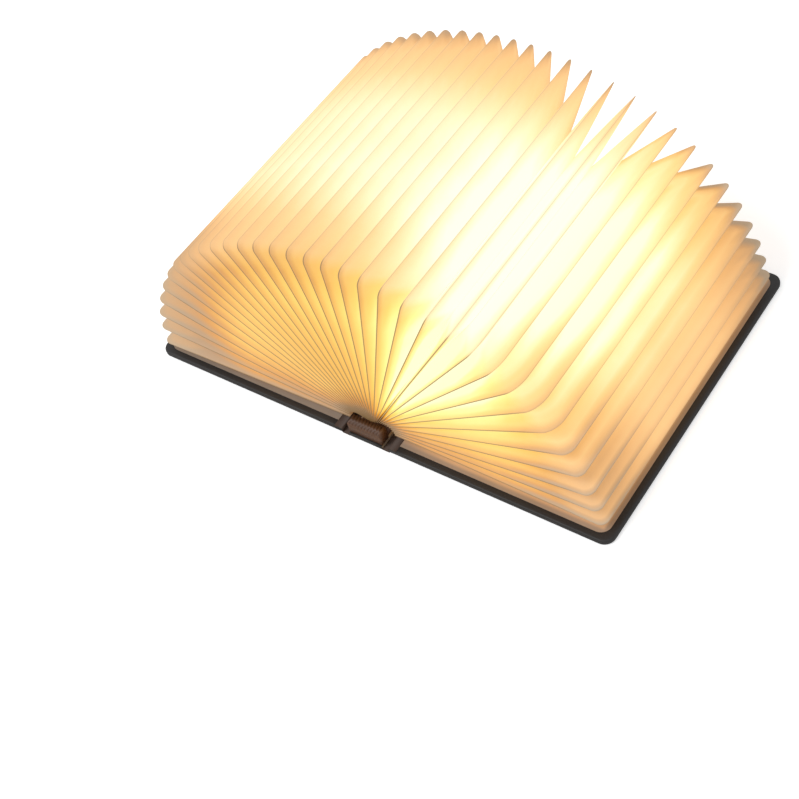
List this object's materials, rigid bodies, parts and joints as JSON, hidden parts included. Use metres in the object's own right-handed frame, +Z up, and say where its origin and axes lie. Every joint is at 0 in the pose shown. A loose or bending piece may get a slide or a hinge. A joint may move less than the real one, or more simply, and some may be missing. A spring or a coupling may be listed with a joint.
{
  "type": "folding book lamp",
  "caption": "Lamp in the form of a hardcover book: its covers fold flat to spread a fan of pleated paper pages over a rechargeable light in the spine.",
  "frame": {"origin": "middle of the underside of the spine, on the surface that the open lamp lies on", "axes": "+Y along the spine towards the charging inlet, +X towards the back cover, +Z up; the covers lie open at 180 degrees"},
  "size_m": [0.33, 0.215, 0.1462],
  "materials": {
    "cover_cloth": "navy bookcloth with a printed gold ornament",
    "edge_cloth": "near-black bookcloth",
    "board": "grey-brown binder's board",
    "lining_paper": "matt laid paper",
    "page_paper": "thin translucent pleated paper, lit warm from inside",
    "block_wood": "dark stained wood",
    "tray": "satin folded sheet",
    "screws": "zinc plated",
    "cell_foil": "foil pouch",
    "leads": "smooth wire insulation",
    "led_board": "white solder mask",
    "light_chips": "phosphor coated light chips",
    "diffuser": "opal plastic",
    "circuit_board": "green solder mask",
    "inlet_steel": "drawn steel shell",
    "charge_light": "amber lens",
    "switch_plastic": "black moulded",
    "magnets": "nickel plated magnet"
  },
  "bodies": {
    "spine": {"spine_board": "board", "spine_cloth": "edge_cloth", "front_hinge_cloth": "edge_cloth", "back_hinge_cloth": "edge_cloth", "end_block_near": "block_wood", "end_block_far": "block_wood", "light_tray": "tray", "tray_screws": "screws", "battery_cell": "cell_foil", "battery_leads": "leads", "led_board": "led_board", "led_chips": "light_chips", "diffuser": "diffuser", "charge_board": "circuit_board", "usb_inlet": "inlet_steel", "charge_light": "charge_light", "magnet_switch": "switch_plastic", "page_18": "page_paper"},
    "front_cover": {"front_board": "board", "front_cloth": "cover_cloth", "front_lining": "lining_paper", "front_magnets": "magnets"},
    "back_cover": {"back_board": "board", "back_cloth": "cover_cloth", "back_lining": "lining_paper", "back_magnets": "magnets", "switch_magnet": "magnets"},
    "page_01": {"page_01": "page_paper"},
    "page_02": {"page_02": "page_paper"},
    "page_03": {"page_03": "page_paper"},
    "page_04": {"page_04": "page_paper"},
    "page_05": {"page_05": "page_paper"},
    "page_06": {"page_06": "page_paper"},
    "page_07": {"page_07": "page_paper"},
    "page_08": {"page_08": "page_paper"},
    "page_09": {"page_09": "page_paper"},
    "page_10": {"page_10": "page_paper"},
    "page_11": {"page_11": "page_paper"},
    "page_12": {"page_12": "page_paper"},
    "page_13": {"page_13": "page_paper"},
    "page_14": {"page_14": "page_paper"},
    "page_15": {"page_15": "page_paper"},
    "page_16": {"page_16": "page_paper"},
    "page_17": {"page_17": "page_paper"},
    "page_19": {"page_19": "page_paper"},
    "page_20": {"page_20": "page_paper"},
    "page_21": {"page_21": "page_paper"},
    "page_22": {"page_22": "page_paper"},
    "page_23": {"page_23": "page_paper"},
    "page_24": {"page_24": "page_paper"},
    "page_25": {"page_25": "page_paper"},
    "page_26": {"page_26": "page_paper"},
    "page_27": {"page_27": "page_paper"},
    "page_28": {"page_28": "page_paper"},
    "page_29": {"page_29": "page_paper"},
    "page_30": {"page_30": "page_paper"},
    "page_31": {"page_31": "page_paper"},
    "page_32": {"page_32": "page_paper"},
    "page_33": {"page_33": "page_paper"},
    "page_34": {"page_34": "page_paper"}
  },
  "joints": [
    {"name": "front_cover_hinge", "type": "hinge", "parent": "spine", "child": "front_cover", "pos_m": [-0.0168, 0, 0], "axis": [0, 1, 0], "range_deg": [-90, 90], "deforming": ["front_hinge_cloth", "page_18"]},
    {"name": "back_cover_hinge", "type": "hinge", "parent": "spine", "child": "back_cover", "pos_m": [0.0168, 0, 0], "axis": [0, -1, 0], "range_deg": [-90, 90], "deforming": ["back_hinge_cloth"]},
    {"name": "page_01_fold", "type": "hinge", "parent": "spine", "child": "page_01", "pos_m": [-0.01697, 0, 0.00085], "axis": [0, 1, 0], "range_deg": [-88.7, 88.7], "deforming": ["page_01"]},
    {"name": "page_02_fold", "type": "hinge", "parent": "spine", "child": "page_02", "pos_m": [-0.01729, 0, 0.00225], "axis": [0, 1, 0], "range_deg": [-83.4, 83.4], "deforming": ["page_02"]},
    {"name": "page_03_fold", "type": "hinge", "parent": "spine", "child": "page_03", "pos_m": [-0.01736, 0, 0.00333], "axis": [0, 1, 0], "range_deg": [-78.09, 78.09], "deforming": ["page_03"]},
    {"name": "page_04_fold", "type": "hinge", "parent": "spine", "child": "page_04", "pos_m": [-0.0172, 0, 0.00425], "axis": [0, 1, 0], "range_deg": [-72.79, 72.79], "deforming": ["page_04"]},
    {"name": "page_05_fold", "type": "hinge", "parent": "spine", "child": "page_05", "pos_m": [-0.01682, 0, 0.00507], "axis": [0, 1, 0], "range_deg": [-67.49, 67.49], "deforming": ["page_05"]},
    {"name": "page_06_fold", "type": "hinge", "parent": "spine", "child": "page_06", "pos_m": [-0.01624, 0, 0.00583], "axis": [0, 1, 0], "range_deg": [-62.18, 62.18], "deforming": ["page_06"]},
    {"name": "page_07_fold", "type": "hinge", "parent": "spine", "child": "page_07", "pos_m": [-0.01547, 0, 0.00652], "axis": [0, 1, 0], "range_deg": [-56.88, 56.88], "deforming": ["page_07"]},
    {"name": "page_08_fold", "type": "hinge", "parent": "spine", "child": "page_08", "pos_m": [-0.01453, 0, 0.00715], "axis": [0, 1, 0], "range_deg": [-51.58, 51.58], "deforming": ["page_08"]},
    {"name": "page_09_fold", "type": "hinge", "parent": "spine", "child": "page_09", "pos_m": [-0.01344, 0, 0.00775], "axis": [0, 1, 0], "range_deg": [-46.28, 46.28], "deforming": ["page_09"]},
    {"name": "page_10_fold", "type": "hinge", "parent": "spine", "child": "page_10", "pos_m": [-0.01222, 0, 0.00829], "axis": [0, 1, 0], "range_deg": [-40.97, 40.97], "deforming": ["page_10"]},
    {"name": "page_11_fold", "type": "hinge", "parent": "spine", "child": "page_11", "pos_m": [-0.01087, 0, 0.0088], "axis": [0, 1, 0], "range_deg": [-35.67, 35.67], "deforming": ["page_11"]},
    {"name": "page_12_fold", "type": "hinge", "parent": "spine", "child": "page_12", "pos_m": [-0.00941, 0, 0.00927], "axis": [0, 1, 0], "range_deg": [-30.37, 30.37], "deforming": ["page_12"]},
    {"name": "page_13_fold", "type": "hinge", "parent": "spine", "child": "page_13", "pos_m": [-0.00787, 0, 0.00969], "axis": [0, 1, 0], "range_deg": [-25.09, 25.09], "deforming": ["page_13"]},
    {"name": "page_14_fold", "type": "hinge", "parent": "spine", "child": "page_14", "pos_m": [-0.00627, 0, 0.01007], "axis": [0, 1, 0], "range_deg": [-19.83, 19.83], "deforming": ["page_14"]},
    {"name": "page_15_fold", "type": "hinge", "parent": "spine", "child": "page_15", "pos_m": [-0.00463, 0, 0.0104], "axis": [0, 1, 0], "range_deg": [-14.64, 14.64], "deforming": ["page_15"]},
    {"name": "page_16_fold", "type": "hinge", "parent": "spine", "child": "page_16", "pos_m": [-0.00299, 0, 0.01068], "axis": [0, 1, 0], "range_deg": [-9.58, 9.58], "deforming": ["page_16"]},
    {"name": "page_17_fold", "type": "hinge", "parent": "spine", "child": "page_17", "pos_m": [-0.00138, 0, 0.01089], "axis": [0, 1, 0], "range_deg": [-4.66, 4.66], "deforming": ["page_17"]},
    {"name": "page_19_fold", "type": "hinge", "parent": "spine", "child": "page_19", "pos_m": [0.00179, 0, 0.01085], "axis": [0, -1, 0], "range_deg": [-5.92, 5.92], "deforming": ["page_19"]},
    {"name": "page_20_fold", "type": "hinge", "parent": "spine", "child": "page_20", "pos_m": [0.00342, 0, 0.01061], "axis": [0, -1, 0], "range_deg": [-10.9, 10.9], "deforming": ["page_20"]},
    {"name": "page_21_fold", "type": "hinge", "parent": "spine", "child": "page_21", "pos_m": [0.00513, 0, 0.01031], "axis": [0, -1, 0], "range_deg": [-16.2, 16.2], "deforming": ["page_21"]},
    {"name": "page_22_fold", "type": "hinge", "parent": "spine", "child": "page_22", "pos_m": [0.00689, 0, 0.00993], "axis": [0, -1, 0], "range_deg": [-21.83, 21.83], "deforming": ["page_22"]},
    {"name": "page_23_fold", "type": "hinge", "parent": "spine", "child": "page_23", "pos_m": [0.00863, 0, 0.00949], "axis": [0, -1, 0], "range_deg": [-27.65, 27.65], "deforming": ["page_23"]},
    {"name": "page_24_fold", "type": "hinge", "parent": "spine", "child": "page_24", "pos_m": [0.01028, 0, 0.009], "axis": [0, -1, 0], "range_deg": [-33.48, 33.48], "deforming": ["page_24"]},
    {"name": "page_25_fold", "type": "hinge", "parent": "spine", "child": "page_25", "pos_m": [0.0118, 0, 0.00846], "axis": [0, -1, 0], "range_deg": [-39.3, 39.3], "deforming": ["page_25"]},
    {"name": "page_26_fold", "type": "hinge", "parent": "spine", "child": "page_26", "pos_m": [0.01318, 0, 0.00787], "axis": [0, -1, 0], "range_deg": [-45.09, 45.09], "deforming": ["page_26"]},
    {"name": "page_27_fold", "type": "hinge", "parent": "spine", "child": "page_27", "pos_m": [0.0144, 0, 0.00724], "axis": [0, -1, 0], "range_deg": [-50.88, 50.88], "deforming": ["page_27"]},
    {"name": "page_28_fold", "type": "hinge", "parent": "spine", "child": "page_28", "pos_m": [0.01544, 0, 0.00654], "axis": [0, -1, 0], "range_deg": [-56.68, 56.68], "deforming": ["page_28"]},
    {"name": "page_29_fold", "type": "hinge", "parent": "spine", "child": "page_29", "pos_m": [0.01627, 0, 0.00579], "axis": [0, -1, 0], "range_deg": [-62.46, 62.46], "deforming": ["page_29"]},
    {"name": "page_30_fold", "type": "hinge", "parent": "spine", "child": "page_30", "pos_m": [0.01688, 0, 0.00498], "axis": [0, -1, 0], "range_deg": [-68.15, 68.15], "deforming": ["page_30"]},
    {"name": "page_31_fold", "type": "hinge", "parent": "spine", "child": "page_31", "pos_m": [0.01724, 0, 0.00412], "axis": [0, -1, 0], "range_deg": [-73.59, 73.59], "deforming": ["page_31"]},
    {"name": "page_32_fold", "type": "hinge", "parent": "spine", "child": "page_32", "pos_m": [0.01736, 0, 0.00323], "axis": [0, -1, 0], "range_deg": [-78.63, 78.63], "deforming": ["page_32"]},
    {"name": "page_33_fold", "type": "hinge", "parent": "spine", "child": "page_33", "pos_m": [0.0173, 0, 0.0023], "axis": [0, -1, 0], "range_deg": [-83.18, 83.18], "deforming": ["page_33"]},
    {"name": "page_34_fold", "type": "hinge", "parent": "spine", "child": "page_34", "pos_m": [0.01708, 0, 0.00128], "axis": [0, -1, 0], "range_deg": [-87.3, 87.3], "deforming": ["page_34"]}
  ],
  "couplings": [
    {"joint": "page_01_fold", "follows": "front_cover_hinge", "ratio": 0.98},
    {"joint": "page_02_fold", "follows": "front_cover_hinge", "ratio": 0.92108},
    {"joint": "page_03_fold", "follows": "front_cover_hinge", "ratio": 0.86216},
    {"joint": "page_04_fold", "follows": "front_cover_hinge", "ratio": 0.80323},
    {"joint": "page_05_fold", "follows": "front_cover_hinge", "ratio": 0.74431},
    {"joint": "page_06_fold", "follows": "front_cover_hinge", "ratio": 0.68539},
    {"joint": "page_07_fold", "follows": "front_cover_hinge", "ratio": 0.62647},
    {"joint": "page_08_fold", "follows": "front_cover_hinge", "ratio": 0.56754},
    {"joint": "page_09_fold", "follows": "front_cover_hinge", "ratio": 0.50862},
    {"joint": "page_10_fold", "follows": "front_cover_hinge", "ratio": 0.4497},
    {"joint": "page_11_fold", "follows": "front_cover_hinge", "ratio": 0.39079},
    {"joint": "page_12_fold", "follows": "front_cover_hinge", "ratio": 0.33192},
    {"joint": "page_13_fold", "follows": "front_cover_hinge", "ratio": 0.27318},
    {"joint": "page_14_fold", "follows": "front_cover_hinge", "ratio": 0.21478},
    {"joint": "page_15_fold", "follows": "front_cover_hinge", "ratio": 0.15715},
    {"joint": "page_16_fold", "follows": "front_cover_hinge", "ratio": 0.10084},
    {"joint": "page_17_fold", "follows": "front_cover_hinge", "ratio": 0.046232},
    {"joint": "page_19_fold", "follows": "back_cover_hinge", "ratio": 0.060263},
    {"joint": "page_20_fold", "follows": "back_cover_hinge", "ratio": 0.11558},
    {"joint": "page_21_fold", "follows": "back_cover_hinge", "ratio": 0.1745},
    {"joint": "page_22_fold", "follows": "back_cover_hinge", "ratio": 0.23703},
    {"joint": "page_23_fold", "follows": "back_cover_hinge", "ratio": 0.30162},
    {"joint": "page_24_fold", "follows": "back_cover_hinge", "ratio": 0.36644},
    {"joint": "page_25_fold", "follows": "back_cover_hinge", "ratio": 0.43114},
    {"joint": "page_26_fold", "follows": "back_cover_hinge", "ratio": 0.49548},
    {"joint": "page_27_fold", "follows": "back_cover_hinge", "ratio": 0.55975},
    {"joint": "page_28_fold", "follows": "back_cover_hinge", "ratio": 0.62418},
    {"joint": "page_29_fold", "follows": "back_cover_hinge", "ratio": 0.68846},
    {"joint": "page_30_fold", "follows": "back_cover_hinge", "ratio": 0.75163},
    {"joint": "page_31_fold", "follows": "back_cover_hinge", "ratio": 0.8121},
    {"joint": "page_32_fold", "follows": "back_cover_hinge", "ratio": 0.86813},
    {"joint": "page_33_fold", "follows": "back_cover_hinge", "ratio": 0.91865},
    {"joint": "page_34_fold", "follows": "back_cover_hinge", "ratio": 0.96444}
  ]
}
